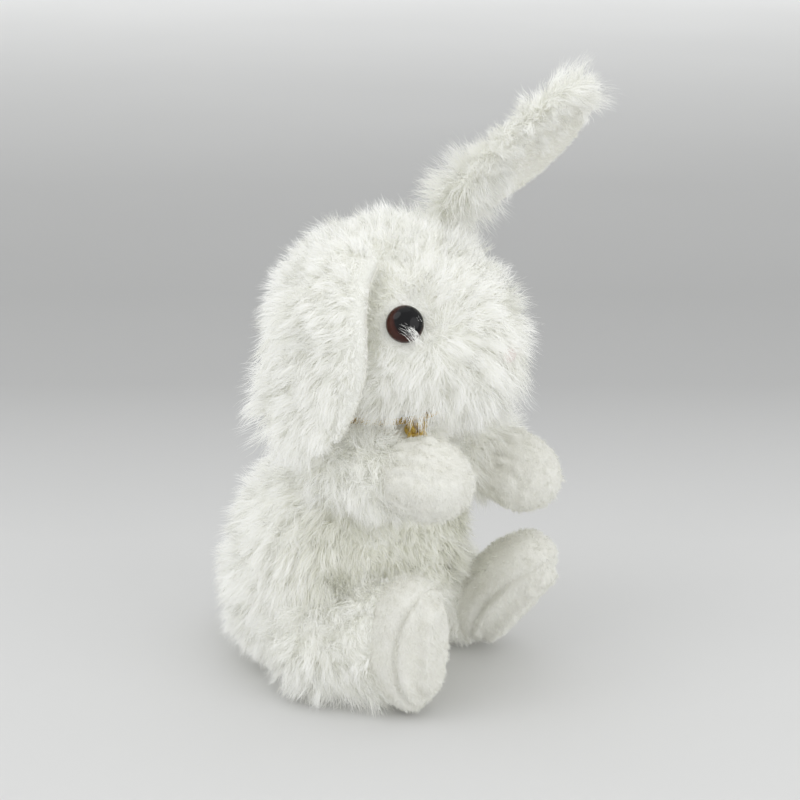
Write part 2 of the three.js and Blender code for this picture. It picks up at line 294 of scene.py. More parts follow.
def nearest_of(points, centres):
    """Index of the nearest centre to each point."""
    tree = kdtree.KDTree(len(centres))
    for i, centre in enumerate(centres):
        tree.insert(centre, i)
    tree.balance()
    return np.fromiter((tree.find(p)[1] for p in points), int, len(points))


# ---- camera


def aimed(obj, back, distance=1.0):
    """obj placed this way and far back from the point looked at, and turned towards it."""
    obj.location = LOOKS_AT + back * distance
    obj.rotation_mode = "QUATERNION"
    obj.rotation_quaternion = (-back).to_track_quat("-Z", "Y")
    return obj


def make_camera():
    data = bpy.data.cameras.new("camera")
    data.lens = LENS
    data.sensor_width = SENSOR
    data.clip_start, data.clip_end = 0.01, 50
    level = math.cos(ELEVATION)
    back = Vector((math.sin(AZIMUTH) * level, -math.cos(AZIMUTH) * level, math.sin(ELEVATION)))
    bpy.context.scene.camera = aimed(add_object("camera", data), back, DISTANCE)


# ---- materials


class Nodes:
    """Short spelling for the nodes of one material."""

    def __init__(self, name):
        self.material = bpy.data.materials.new(name)
        self.material.use_nodes = True
        self.tree = self.material.node_tree
        self.shader = self.tree.nodes["Principled BSDF"]

    def add(self, kind, **settings):
        node = self.tree.nodes.new(kind)
        for key, value in settings.items():
            if key in node.inputs:
                node.inputs[key].default_value = value
            else:
                setattr(node, key, value)
        return node

    def join(self, out, into):
        self.tree.links.new(out, into)

    def ramp(self, factor, stops):
        node = self.tree.nodes.new("ShaderNodeValToRGB")
        line = node.color_ramp.elements
        while len(line) < len(stops):
            line.new(0.5)
        for element, (at, color) in zip(line, stops):
            element.position = at
            element.color = (*color, 1)
        self.join(factor, node.inputs["Fac"])
        return node.outputs["Color"]

    def mix(self, kind, factor, first, second):
        node = self.add("ShaderNodeMix", data_type="RGBA", blend_type=kind)
        for value, socket in ((factor, node.inputs[0]), (first, node.inputs[6]), (second, node.inputs[7])):
            if isinstance(value, bpy.types.NodeSocket):
                self.join(value, socket)
            else:
                socket.default_value = value
        return node.outputs[2]

    def bump(self, height, distance, strength=1.0, under=None):
        node = self.add("ShaderNodeBump", Distance=distance, Strength=strength)
        self.join(height, node.inputs["Height"])
        if under is not None:
            self.join(under, node.inputs["Normal"])
        return node.outputs["Normal"]

    def set(self, **values):
        for key, value in values.items():
            self.shader.inputs[key.replace("_", " ")].default_value = value


def grey(level):
    """Linear colour of a grey with this sRGB level, 0 to 255."""
    share = level / 255
    return (((share + 0.055) / 1.055) ** 2.4,) * 3


def strand_material(name, root, shaft, tip, glow):
    """Pile whose colour runs from root to tip and differs a little between strands.
    Its darker, yellower roots are partly the fibres' own tone and partly painted shade deep in the pile.
    Its faint glow stands for the light that white fibres pass on to each other."""
    m = Nodes(name)
    uv = m.add("ShaderNodeUVMap", uv_map="OFBake")
    split = m.add("ShaderNodeSeparateXYZ")
    m.join(uv.outputs["UV"], split.inputs[0])
    along = m.ramp(split.outputs["Y"], [(0, root), (0.45, shaft), (1, tip)])
    streak = m.add("ShaderNodeTexNoise", noise_dimensions="1D", Scale=37.0, Detail=3.0)
    m.join(split.outputs["X"], streak.inputs["W"])
    tint = m.ramp(streak.outputs["Fac"], [(0.3, (0.95, 0.95, 0.92)), (0.6, (1, 1, 1))])
    m.join(m.mix("MULTIPLY", 1.0, along, tint), m.shader.inputs["Base Color"])
    m.set(Roughness=0.85, Specular_IOR_Level=0.15)
    m.set(Emission_Color=(1.0, 1.0, 0.96, 1.0), Emission_Strength=glow)
    return m.material


def cloth_material(name, low, high, pile, depth):
    """Backing cloth with a dense underpile: mottled, with fine fibre bumps."""
    m = Nodes(name)
    at = m.add("ShaderNodeTexCoord").outputs["Object"]
    mottle = m.add("ShaderNodeTexNoise", Scale=90.0, Detail=4.0)
    fibre = m.add("ShaderNodeTexNoise", Scale=pile, Detail=6.0, Roughness=0.7)
    cell = m.add("ShaderNodeTexVoronoi", Scale=pile * 1.3)
    for node in (mottle, fibre, cell):
        m.join(at, node.inputs["Vector"])
    color = m.ramp(mottle.outputs["Fac"], [(0.3, low), (0.65, high)])
    deep = m.ramp(fibre.outputs["Fac"], [(0.3, (0.92, 0.92, 0.9)), (0.6, (1, 1, 1))])
    m.join(m.mix("MULTIPLY", 1.0, color, deep), m.shader.inputs["Base Color"])
    first = m.bump(cell.outputs["Distance"], depth)
    m.join(m.bump(fibre.outputs["Fac"], depth, under=first), m.shader.inputs["Normal"])
    m.set(Roughness=0.95, Specular_IOR_Level=0.15, Sheen_Weight=0.3, Sheen_Roughness=0.5)
    return m.material


def eye_material():
    """Black pupil and dark red-brown iris, by distance from the eye's axis."""
    m = Nodes("eye_gloss")
    radius = m.add("ShaderNodeAttribute", attribute_name="ring")
    spoke = m.add("ShaderNodeAttribute", attribute_name="spoke")
    streak = m.add("ShaderNodeTexNoise", noise_dimensions="1D", Scale=3.0, Detail=4.0)
    m.join(spoke.outputs["Fac"], streak.inputs["W"])
    rings = m.ramp(
        radius.outputs["Fac"],
        [
            (0.0, (0.002, 0.002, 0.003)),
            (0.74, (0.003, 0.003, 0.004)),
            (0.84, (0.035, 0.008, 0.005)),
            (0.98, (0.06, 0.017, 0.01)),
            (1.0, (0.05, 0.014, 0.009)),
        ],
    )
    fleck = m.ramp(streak.outputs["Fac"], [(0.35, (0.55, 0.5, 0.5)), (0.7, (1.2, 1.2, 1.2))])
    m.join(m.mix("MULTIPLY", 1.0, rings, fleck), m.shader.inputs["Base Color"])
    m.set(Roughness=0.06, Specular_IOR_Level=0.2, Coat_Weight=0.15, Coat_Roughness=0.02)
    return m.material


def fibre_material(name, scale, detail, shades, depth, **values):
    """Fine fibres in these shades, which also stand up by this depth."""
    m = Nodes(name)
    fibre = m.add("ShaderNodeTexNoise", Scale=scale, Detail=detail)
    m.join(m.add("ShaderNodeTexCoord").outputs["Object"], fibre.inputs["Vector"])
    m.join(m.ramp(fibre.outputs["Fac"], shades), m.shader.inputs["Base Color"])
    m.join(m.bump(fibre.outputs["Fac"], depth), m.shader.inputs["Normal"])
    m.set(**values)
    return m.material


def cord_material():
    """Twisted metallic gold thread with darker grooves."""
    shades = [(0.3, (0.24, 0.16, 0.03)), (0.6, (0.8, 0.56, 0.13))]
    return fibre_material("gold_thread", 2600.0, 4.0, shades, 0.1 * MM, Roughness=0.45, Metallic=0.6)


def nose_material():
    """Matt velour, pale pink."""
    shades = [(0.3, (0.7, 0.63, 0.59)), (0.7, (0.82, 0.76, 0.72))]
    return fibre_material("nose_velour", 1500.0, 5.0, shades, 0.2 * MM, Roughness=0.8, Sheen_Weight=0.4)


# ---- stage and light


def level_axes():
    """Level directions away from the camera and to its right."""
    away = Vector((-math.sin(AZIMUTH), math.cos(AZIMUTH), 0))
    return away, Vector((away.y, -away.x, 0))


def make_stage():
    """Pale floor that sweeps up far behind the rabbit, with a greyer band behind it and a paler far part.
    These greys are painted shade and painted light.
    """
    away, aside = level_axes()
    rows = [(-6.0, 0.0), (-1.0, 0.0), (0.5, 0.0), (SWEEP_AT, 0.0)]
    for i in range(1, 13):
        a = math.pi / 2 * i / 12
        rows.append((SWEEP_AT + SWEEP_RADIUS * math.sin(a), SWEEP_RADIUS * (1 - math.cos(a))))
    rows.append((SWEEP_AT + SWEEP_RADIUS, SWEEP_TOP))
    verts, faces = [], []
    for at, height in rows:
        for side in (-STAGE_HALF, STAGE_HALF):
            verts.append(LOOKS_AT.xy.to_3d() + away * at + aside * side + Vector((0, 0, height)))
    for i in range(len(rows) - 1):
        a = 2 * i
        faces.append((a, a + 1, a + 3, a + 2))
    floor = make_mesh("floor", verts, faces)
    m = Nodes("floor_paper")
    at = m.add("ShaderNodeTexCoord").outputs["Object"]
    depth = m.add("ShaderNodeVectorMath", operation="DOT_PRODUCT")
    m.join(at, depth.inputs[0])
    depth.inputs[1].default_value = away
    share = m.add("ShaderNodeMapRange", **{"From Min": FLOOR_FROM, "From Max": FLOOR_TO})
    m.join(depth.outputs["Value"], share.inputs["Value"])
    color = m.ramp(share.outputs["Result"], [(stop, grey(level)) for stop, level in FLOOR_SHADES])
    mottle = m.add("ShaderNodeTexNoise", Scale=2.2, Detail=3.0)
    m.join(at, mottle.inputs["Vector"])
    cloud = m.ramp(mottle.outputs["Fac"], [(0.3, (0.97, 0.97, 0.97)), (0.7, (1, 1, 1))])
    m.join(m.mix("MULTIPLY", 1.0, color, cloud), m.shader.inputs["Base Color"])
    m.set(Roughness=0.9, Specular_IOR_Level=0.1)
    floor.data.materials.append(m.material)


def make_lights():
    """Pale sky all round and three large soft lamps."""
    world = bpy.data.worlds.new("studio")
    bpy.context.scene.world = world
    world.use_nodes = True
    sky = world.node_tree.nodes["Background"]
    sky.inputs["Color"].default_value = SKY
    sky.inputs["Strength"].default_value = SKY_LIGHT
    away, aside = level_axes()
    for name, ((back, side, up), size, power) in LAMPS.items():
        data = bpy.data.lights.new(name, "AREA")
        data.shape = "DISK"
        data.size = size
        data.energy = power
        aimed(add_object(name, data), away * back + aside * side + Vector((0, 0, up)))


# ---- skins


def hull_of(name, *nodes):
    """Closed convex wrap of the CAD nodes' vertices."""
    cloud = bmesh.new()
    for node in nodes:
        for v in frame["nodes"][node].data.vertices:
            cloud.verts.new(v.co)
    found = bmesh.ops.convex_hull(cloud, input=cloud.verts[:], use_existing_faces=False)
    spare = [g for g in found["geom_interior"] + found["geom_unused"] if isinstance(g, bmesh.types.BMVert)]
    bmesh.ops.delete(cloud, geom=list(set(spare)), context="VERTS")
    return made_of(cloud, name)


def merged(name, objects):
    """One object with the meshes of all the others, which are removed."""
    whole = bmesh.new()
    for o in objects:
        whole.from_mesh(o.data)
        bpy.data.objects.remove(o)
    return made_of(whole, name)


def remeshed(obj, voxel, rounds):
    """obj as one even closed mesh, with rounds of smoothing."""
    grid = obj.modifiers.new("even", "REMESH")
    grid.mode = "VOXEL"
    grid.voxel_size = voxel
    soften = obj.modifiers.new("soften", "SMOOTH")
    soften.factor = 0.5
    soften.iterations = rounds
    return baked(obj)


def shrunk(obj, by):
    """obj with each vertex moved in along its normal."""
    set_points(obj, points_of(obj) - normals_of(obj) * by)
    return obj


def inflated(obj, held, swell):
    """obj swollen by cloth pressure, about this much where no stitches hold the cloth."""
    start = points_of(obj)
    free = np.ones(len(start), bool)
    free[held] = False
    set_points(obj, start * SIM_SCALE)
    group = obj.vertex_groups.new(name="stitches")
    group.add([int(i) for i in held], 1.0, "REPLACE")
    cloth = obj.modifiers.new("cloth", "CLOTH")
    cloth.settings.use_pressure = True
    cloth.settings.uniform_pressure_force = PRESSURE
    cloth.settings.effector_weights.gravity = 0
    cloth.settings.vertex_group_mass = "stitches"
    cloth.collision_settings.use_collision = False
    for f in range(1, SIM_FRAMES + 1):
        bpy.context.scene.frame_set(f)
    graph = bpy.context.evaluated_depsgraph_get()
    after = obj.evaluated_get(graph).to_mesh()
    shift = numbers(after.vertices, "co") / SIM_SCALE - start
    obj.modifiers.clear()
    obj.vertex_groups.clear()
    bpy.context.scene.frame_set(1)
    size = np.linalg.norm(shift, axis=1)
    shift *= swell / size[free].mean()
    most = np.minimum(1, MOST_SWELL * swell / np.maximum(np.linalg.norm(shift, axis=1), 1e-9))
    set_points(obj, start + shift * most[:, None])
    subdivided(obj, 1)
    resting = points_of(obj)
    resting[:, 2] = np.maximum(resting[:, 2], 0)
    set_points(obj, resting)
    return shade_smooth(obj)


def split_off(obj, name, chosen):
    """The faces of obj where chosen is true, as an object of their own."""
    part = add_object(name, obj.data.copy())
    part.data.name = name
    for target, drop in ((part, ~chosen), (obj, chosen)):
        work = bmesh.new()
        work.from_mesh(target.data)
        work.faces.ensure_lookup_table()
        gone = [work.faces[int(i)] for i in np.flatnonzero(drop)]
        bmesh.ops.delete(work, geom=gone, context="FACES")
        work.to_mesh(target.data)
        work.free()
    return part


def make_core(name, nodes, hides, voxel, rounds, inset, swell):
    """Swollen skin over the wrap of some nodes, which starts this far inside them. It stands for
    these nodes and for those that it hides."""
    core = remeshed(hull_of(name, *nodes), voxel, rounds)
    skin = inflated(shrunk(core, inset), np.array([], int), swell)
    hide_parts(*nodes, *hides)
    return skin


def arm_parts(side):
    """(sleeve, paw) of one arm, swollen together so that the wrist seam pulls in between them."""
    shoulder = Vector(joint_at(f"arm_{side}_swing"))
    axis = (Vector(middle(f"arm_{side}_paw")) - shoulder).normalized()
    reach = max((v.co - shoulder).dot(axis) for v in frame["nodes"][f"arm_{side}_sleeve"].data.vertices)
    pieces = [hull_of("sleeve", f"arm_{side}_sleeve"), hull_of("paw", f"arm_{side}_paw")]
    skin = remeshed(merged(f"arm_{side}_skin", pieces), LIMB_VOXEL, 4)
    shrunk(skin, PINCH)
    along = (points_of(skin) - np.array(shoulder)) @ np.array(axis)
    held = np.flatnonzero(np.abs(along - reach) < SEAM_REACH)
    skin = inflated(skin, held, LIMB_SWELL)
    beyond = (face_middles(skin) - np.array(shoulder)) @ np.array(axis) > reach
    paw = split_off(skin, f"arm_{side}_paw_skin", beyond)
    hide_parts(f"arm_{side}_sleeve", f"arm_{side}_stuffing")
    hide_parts(f"arm_{side}_paw")
    return skin, paw


def leg_parts(side):
    """(sleeve, upper, sole) of one leg, swollen together round its ankle and sole seams."""
    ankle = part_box(f"leg_{side}_sleeve")[0].y
    tilt = FOOT_TILT[side]
    toward_toes = np.array((0, -math.cos(tilt), -math.sin(tilt)))
    upward = np.array((0, -math.sin(tilt), math.cos(tilt)))
    upper = points_of(frame["nodes"][f"foot_{side}_upper"])
    rim = (upper @ toward_toes).max()
    heel, toes = (upper @ upward).min(), (upper @ upward).max()

    def past_seam(points):
        """Distance in front of the sole's seam, which bows back between heel and toes."""
        share = np.clip(2 * (points @ upward - heel) / (toes - heel) - 1, -1, 1)
        return points @ toward_toes - rim + SOLE_BOW * (1 - share**2)

    foot = [f"foot_{side}_upper", f"foot_{side}_sole"]
    pieces = [hull_of("sleeve", f"leg_{side}_sleeve"), hull_of("foot", *foot)]
    skin = remeshed(merged(f"leg_{side}_skin", pieces), LIMB_VOXEL, 4)
    shrunk(skin, PINCH)
    points = points_of(skin)
    near_ankle = np.abs(points[:, 1] - ankle) < SEAM_REACH
    near_sole = np.abs(past_seam(points)) < SEAM_REACH
    skin = inflated(skin, np.flatnonzero(near_ankle | near_sole), LIMB_SWELL)
    points = points_of(skin)
    depth = SOLE_GROOVE * np.exp(-((past_seam(points) / SEAM_REACH) ** 2)) * (points[:, 1] < ankle)
    set_points(skin, points - normals_of(skin) * depth[:, None])
    middles = face_middles(skin)
    foot_skin = split_off(skin, f"foot_{side}_upper_skin", middles[:, 1] < ankle)
    sole = split_off(foot_skin, f"foot_{side}_sole_skin", past_seam(face_middles(foot_skin)) > 0)
    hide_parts(f"leg_{side}_sleeve", f"leg_{side}_stuffing")
    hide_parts(f"foot_{side}_upper")
    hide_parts(f"foot_{side}_sole")
    return skin, foot_skin, sole


def ear_layer(side, layer):
    """One smooth fabric layer of an ear, from its CAD node. Its rim stays sharp where it meets
    the other layer, so that the two close up."""
    node = f"ear_{side}_{layer}"
    other = tree_of(frame["nodes"][f"ear_{side}_{'lining' if layer == 'back' else 'back'}"])
    skin = add_object(f"{node}_skin", frame["nodes"][node].data.copy())
    work = bmesh.new()
    work.from_mesh(skin.data)
    bmesh.ops.remove_doubles(work, verts=work.verts[:], dist=0.01 * MM)
    bmesh.ops.join_triangles(
        work, faces=work.faces[:], angle_face_threshold=0.6, angle_shape_threshold=1.5
    )
    crease = work.edges.layers.float.new("crease_edge")
    for edge in work.edges:
        sharp = len(edge.link_faces) == 2 and edge.calc_face_angle() > EAR_RIM_ANGLE
        half_way = (edge.verts[0].co + edge.verts[1].co) / 2
        if sharp and other.find_nearest(half_way)[3] < EAR_MEETS:
            edge[crease] = 1.0
    work.to_mesh(skin.data)
    work.free()
    shade_smooth(subdivided(skin, 2))
    shrunk(skin, -EAR_SWELL)
    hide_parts(node)
    return skin


def dress(obj, body, coat):
    """obj with its material, riding on its body."""
    material, slot = coat
    obj.data.materials.clear()
    obj.data.materials.append(material)
    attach(obj, body)
    return obj


# ---- hard small parts


def eye_frame(side):
    """(middle of the rim, axis, radius, height) of a safety eye, from its CAD vertices."""
    points = points_of(frame["nodes"][f"eye_{side}"])
    centre = points.mean(0)
    far = np.linalg.norm(points - centre, axis=1)
    foot = points[far > far.max() - 0.1 * MM].mean(0)
    axis = unit(centre - foot)
    height = (points - foot) @ axis
    radial = np.linalg.norm(points - foot - height[:, None] * axis, axis=1)
    rim = height[radial > radial.max() - 0.1 * MM].min()
    return foot + axis * rim, axis, radial.max(), height.max() - rim


def ring_faces(rings, around, closed=False):
    """Faces that join rings of vertices, one ring after the other."""
    faces = []
    for k in range(rings if closed else rings - 1):
        n = (k + 1) % rings
        for i in range(around):
            j = (i + 1) % around
            faces.append((k * around + i, k * around + j, n * around + j, n * around + i))
    return faces


def lathe(name, profile, centre, axis, pupil, around=48):
    """Turned mesh about axis: profile rows are (radius, height), the last one on the axis.
    Its ring attribute is the distance from the pupil's middle, as a share of the radius."""
    axis = Vector(axis)
    turn = axis.to_track_quat("Z", "Y").to_matrix()
    verts, spokes = [], []
    for r, h in profile[:-1]:
        for i in range(around):
            a = 2 * math.pi * i / around
            verts.append(Vector(centre) + turn @ Vector((r * math.cos(a), r * math.sin(a), h)))
            spokes.append(i / around)
    verts.append(Vector(centre) + turn @ Vector((0, 0, profile[-1][1])))
    spokes.append(0.0)
    flat = [v - Vector(centre) - axis * (v - Vector(centre)).dot(axis) for v in verts]
    rings = [(f / profile[1][0] - Vector(pupil)).length for f in flat]
    faces = ring_faces(len(profile) - 1, around)
    last = (len(profile) - 2) * around
    for i in range(around):
        faces.append((last + i, last + (i + 1) % around, len(verts) - 1))
    turned = make_mesh(name, verts, faces)
    for label, values in (("ring", rings), ("spoke", spokes)):
        turned.data.attributes.new(label, "FLOAT", "POINT").data.foreach_set("value", values)
    return turned


def make_eye(side, gloss):
    """Glossy dome with iris and pupil, in place of the plain CAD eye."""
    centre, axis, radius, height = eye_frame(side)
    rows = [(radius * 0.97, -EYE_SINKS), (radius, -0.6 * MM), (radius, 0.0)]
    for i in range(1, 15):
        a = math.pi / 2 * i / 14
        rows.append((radius * math.cos(a) ** 0.9 if i < 14 else 0.0, height * math.sin(a)))
    pupil = PUPIL_SHIFT * unit(unit(NOSE - centre) + (0, 0, 0.9))
    pupil -= axis * (pupil @ axis)
    eye = lathe(f"eye_{side}_dome", rows, centre, axis, pupil)
    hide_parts(f"eye_{side}")
    dress(eye, "head", (gloss, "eye"))


def tube(points, radius, around=8, closed=False):
    """(verts, faces) of a tube along points."""
    points = np.asarray(points, float)
    count = len(points)
    if closed:
        along = unit(np.roll(points, -1, 0) - np.roll(points, 1, 0))
    else:
        along = unit(np.gradient(points, axis=0))
    side = np.cross(along[0], (0.2, 0.3, 0.93))
    verts = []
    for k in range(count):
        side = unit(side - along[k] * (side @ along[k]))
        up = np.cross(along[k], side)
        for i in range(around):
            a = 2 * math.pi * i / around
            verts.append(points[k] + radius * (side * math.cos(a) + up * math.sin(a)))
    faces = ring_faces(count, around, closed)
    if not closed:
        faces += [tuple(range(around))[::-1], tuple((count - 1) * around + i for i in range(around))]
    return verts, faces


def make_cord():
    """Two-ply gold cord round the neck, with a small knot and two ends. Returns the knot's place."""
    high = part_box("neck_cord")[1]
    neck = joint_at("neck_turn")
    level = high.z - CORD_THICK
    ring = (high.y - neck[1]) - CORD_THICK
    sway = 0.55 * CORD_THICK
    verts, faces = [], []

    def place(part):
        start = len(verts)
        verts.extend(part[0])
        faces.extend(tuple(i + start for i in f) for f in part[1])

    for ply in (0, math.pi):
        line = []
        for i in range(CORD_STEPS):
            a = 2 * math.pi * i / CORD_STEPS
            t = CORD_TURNS * a + ply
            r = ring + sway * math.cos(t)
            line.append((neck[0] + r * math.cos(a), neck[1] + r * math.sin(a), level + sway * math.sin(t)))
        place(tube(line, 0.5 * CORD_THICK, closed=True))
    out = np.array((math.cos(KNOT_AT), math.sin(KNOT_AT), 0))
    aside = np.array((-math.sin(KNOT_AT), math.cos(KNOT_AT), 0))
    knot = np.array((neck[0], neck[1], level - KNOT_LOW)) + out * (ring + KNOT_OUT)
    line = []
    for i in range(120):
        t = 2 * math.pi * i / 120
        wide = 2.0 + math.cos(3 * t)
        line.append(
            knot
            + aside * wide * math.cos(2 * t) * KNOT_SIZE[0]
            + UP * wide * math.sin(2 * t) * KNOT_SIZE[1]
            + out * math.sin(3 * t) * KNOT_SIZE[2]
        )
    place(tube(line, KNOT_THICK, closed=True))
    for sign in (-1, 1):
        line = []
        for i in range(14):
            t = i / 13
            spread = aside * sign * (1.8 + 2.6 * t) * MM + out * 1.4 * t * MM
            line.append(knot + spread + DOWN * END_LENGTH * t**1.4)
        place(tube(line, END_THICK))
    cord = make_mesh("neck_cord_twist", verts, faces)
    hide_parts("neck_cord")
    dress(cord, "torso", (cord_material(), "gold_cord"))
    return knot


def make_nose():
    """Small padded velour nose."""
    nose = make_core("nose_pad", ["nose"], [], NOSE_VOXEL, 3, 0.2 * MM, 0.3 * MM)
    dress(nose, "head", (nose_material(), "nose"))


# ---- strands


def scatter(obj, density, rng):
    """Roots spread evenly over obj, density to the square metre, and the skin's normals there."""
    mesh = obj.data
    mesh.calc_loop_triangles()
    tri = numbers(mesh.loop_triangles, "vertices", np.int32)
    co = points_of(obj)
    normals = normals_of(obj)
    a, b, c = (co[tri[:, i]] for i in range(3))
    area = np.linalg.norm(np.cross(b - a, c - a), axis=1) / 2
    picks = rng.choice(len(tri), int(area.sum() * density), p=area / area.sum())
    u, v = rng.random((2, len(picks)))
    over = u + v > 1
    u[over], v[over] = 1 - u[over], 1 - v[over]
    weights = np.stack([1 - u - v, u, v], 1)
    roots = np.einsum("ni,nij->nj", weights, co[tri[picks]])
    facing = unit(np.einsum("ni,nij->nj", weights, normals[tri[picks]]))
    return roots, facing


def buried(points, trees, depth=0.0):
    """Which points lie inside any of the closed shapes."""
    inside = np.zeros(len(points), bool)
    for i, p in enumerate(points):
        v = Vector(p)
        for tree in trees:
            near, normal, _, _ = tree.find_nearest(v, 0.06)
            if near is not None and (v - near).dot(normal) < -depth:
                inside[i] = True
                break
    return inside


def strand_paths(roots, headings, length, phase, style):
    """Points along each strand: it leaves along its heading, droops, and waves."""
    droop, (turns, size), steps = style["droop"], style["wave"], style["steps"]
    points = [roots]
    heading = unit(headings)
    step = (length / steps)[:, None]
    across = unit(np.cross(heading, (0.31, 0.52, 0.79)))
    other = np.cross(heading, across)
    for k in range(steps):
        turn = phase + (k + 0.5) / steps * turns * 2 * math.pi
        sway = across * np.cos(turn)[:, None] + other * np.sin(turn)[:, None]
        heading = unit(heading + DOWN * droop + sway * size)
        points.append(points[-1] + heading * step)
    return np.stack(points, 1)


def drawn_together(own, lead, gather, rng):
    """Strands pulled towards the strand that leads their lock, more and more to the tip."""
    share = np.linspace(0, 1, own.shape[1])[None, :, None]
    pull = gather * rng.uniform(0.4, 1.1, len(own))[:, None, None] * share**0.8
    pull = np.clip(pull, 0, 0.97)
    return own * (1 - pull) + lead * pull


def tufted(roots, normals, flow, style, rng):
    """Points of every strand: fine locks, drawn together again in looser tufts."""
    count = len(roots)
    length = style["length"] if np.ndim(style["length"]) else np.full(count, style["length"])
    locks = rng.choice(count, max(2, int(count / style["per_lock"])), replace=False)
    tufts = rng.choice(locks, max(2, int(len(locks) / style["per_tuft"])), replace=False)
    lock = nearest_of(roots, roots[locks])
    tuft = nearest_of(roots[locks], roots[tufts])
    base = unit(normals * style["lift"] + flow)
    tuft_stray = rng.normal(0, style["tuft_stray"], (len(tufts), 3))
    lock_stray = tuft_stray[tuft] + rng.normal(0, style["lock_stray"], (len(locks), 3))
    tuft_phase = rng.random(len(tufts)) * 2 * math.pi
    lock_phase = tuft_phase[tuft] + rng.normal(0, 0.8, len(locks))
    tuft_grown = rng.uniform(0.75, 1.15, len(tufts))
    lock_grown = tuft_grown[tuft] * rng.uniform(0.75, 1.12, len(locks))

    def paths(which, stray, grown, phase):
        return strand_paths(roots[which], base[which] + stray, length[which] * grown, phase, style)

    tuft_paths = paths(tufts, tuft_stray, tuft_grown, tuft_phase)
    lock_paths = paths(locks, lock_stray, lock_grown, lock_phase)
    lock_paths = drawn_together(lock_paths, tuft_paths[tuft], style["tuft_gather"], rng)
    own = paths(
        np.arange(count),
        lock_stray[lock] + rng.normal(0, style["stray"], (count, 3)),
        lock_grown[lock] * rng.uniform(0.7, 1.08, count),
        lock_phase[lock] + rng.normal(0, 0.4, count),
    )
    return drawn_together(own, lock_paths[lock], style["lock_gather"], rng)


def ribbons(name, paths, normals, style, rng):
    """One mesh of thin tapered ribbons along the paths, each turned a little about itself."""
    count, knots = paths.shape[:2]
    along = unit(np.gradient(paths, axis=1))
    side = unit(np.cross(along, normals[:, None, :]))
    other = np.cross(side, along)
    twist = np.clip(rng.normal(0, 0.5, count), -1.3, 1.3)[:, None, None]
    side = side * np.cos(twist) + other * np.sin(twist)
    facing = unit(np.cross(side, along))
    share = np.linspace(0, 1, knots)
    taper = (1 - 0.75 * share**1.5)[None, :, None]
    half = side * taper * (style["width"] * rng.uniform(0.7, 1.3, count) / 2)[:, None, None]
    left, right = (paths - half)[:, :-1], (paths + half)[:, :-1]
    rows = np.stack([left, right], 2).reshape(count, -1, 3)
    verts = np.concatenate([rows, paths[:, -1:]], 1)
    per = verts.shape[1]
    soft = unit(normals[:, None, :] * style["softness"] + facing)
    soft = np.concatenate([np.repeat(soft[:, :-1], 2, 1), soft[:, -1:]], 1)
    quads = [2 * k + corner for k in range(knots - 2) for corner in (0, 1, 3, 2)]
    one = np.array(quads + [per - 3, per - 2, per - 1])
    loops = (one[None] + np.arange(count)[:, None] * per).ravel()
    faces = knots - 1
    sizes = np.array([4] * (faces - 1) + [3])
    first = np.concatenate([[0], np.cumsum(sizes)[:-1]])
    starts = (first[None] + np.arange(count)[:, None] * len(one)).ravel()
    mesh = bpy.data.meshes.new(name)
    mesh.vertices.add(count * per)
    mesh.vertices.foreach_set("co", verts.astype(np.float32).ravel())
    mesh.loops.add(len(loops))
    mesh.loops.foreach_set("vertex_index", loops.astype(np.int32))
    mesh.polygons.add(count * faces)
    mesh.polygons.foreach_set("loop_start", starts.astype(np.int32))
    tint = rng.random(count)
    u = np.repeat(tint[:, None], per, 1) * 0.98 + 0.01
    u[:, 0:-1:2] -= 0.004
    u[:, 1:-1:2] += 0.004
    v = np.concatenate([np.repeat(share[:-1], 2), [1.0]])
    uv = np.stack([u, np.broadcast_to(v * 0.98 + 0.01, u.shape)], 2).reshape(-1, 2)
    layer = mesh.uv_layers.new(name="OFBake")
    layer.data.foreach_set("uv", uv[loops].astype(np.float32).ravel())
    mesh.update(calc_edges=True)
    mesh.validate()
    pile = shade_smooth(add_object(name, mesh))
    mesh.normals_split_custom_set_from_vertices(soft.reshape(-1, 3).astype(np.float32))
    return pile


def finish_pile(name, body, paths, normals, style, coat, rng):
    """Ribbons for the paths, kept above the floor and near the CAD box, riding on their body."""
    paths = np.clip(paths, np.array(cad_low) - PROUD, np.array(cad_high) + PROUD)
    low = paths[:, :, 2] < FLOOR_GAP
    paths[:, :, 2][low] = FLOOR_GAP + rng.random(low.sum()) * 1.2 * MM
    dress(ribbons(name, paths, normals, style, rng), body, coat)


def sections(name, body, roots, normals, paths, style, coat, rng):
    """The pile as pieces of at most MOST_STRANDS strands, each one sector of the body."""
    parts = math.ceil(len(paths) / MOST_STRANDS)
    middle_point = roots.mean(0)
    order = np.argsort(np.arctan2(roots[:, 0] - middle_point[0], roots[:, 1] - middle_point[1]))
    for i, pick in enumerate(np.array_split(order, parts)):
        label = f"{name}_{i + 1}" if parts > 1 else name
        finish_pile(label, body, paths[pick], normals[pick], style, coat, rng)


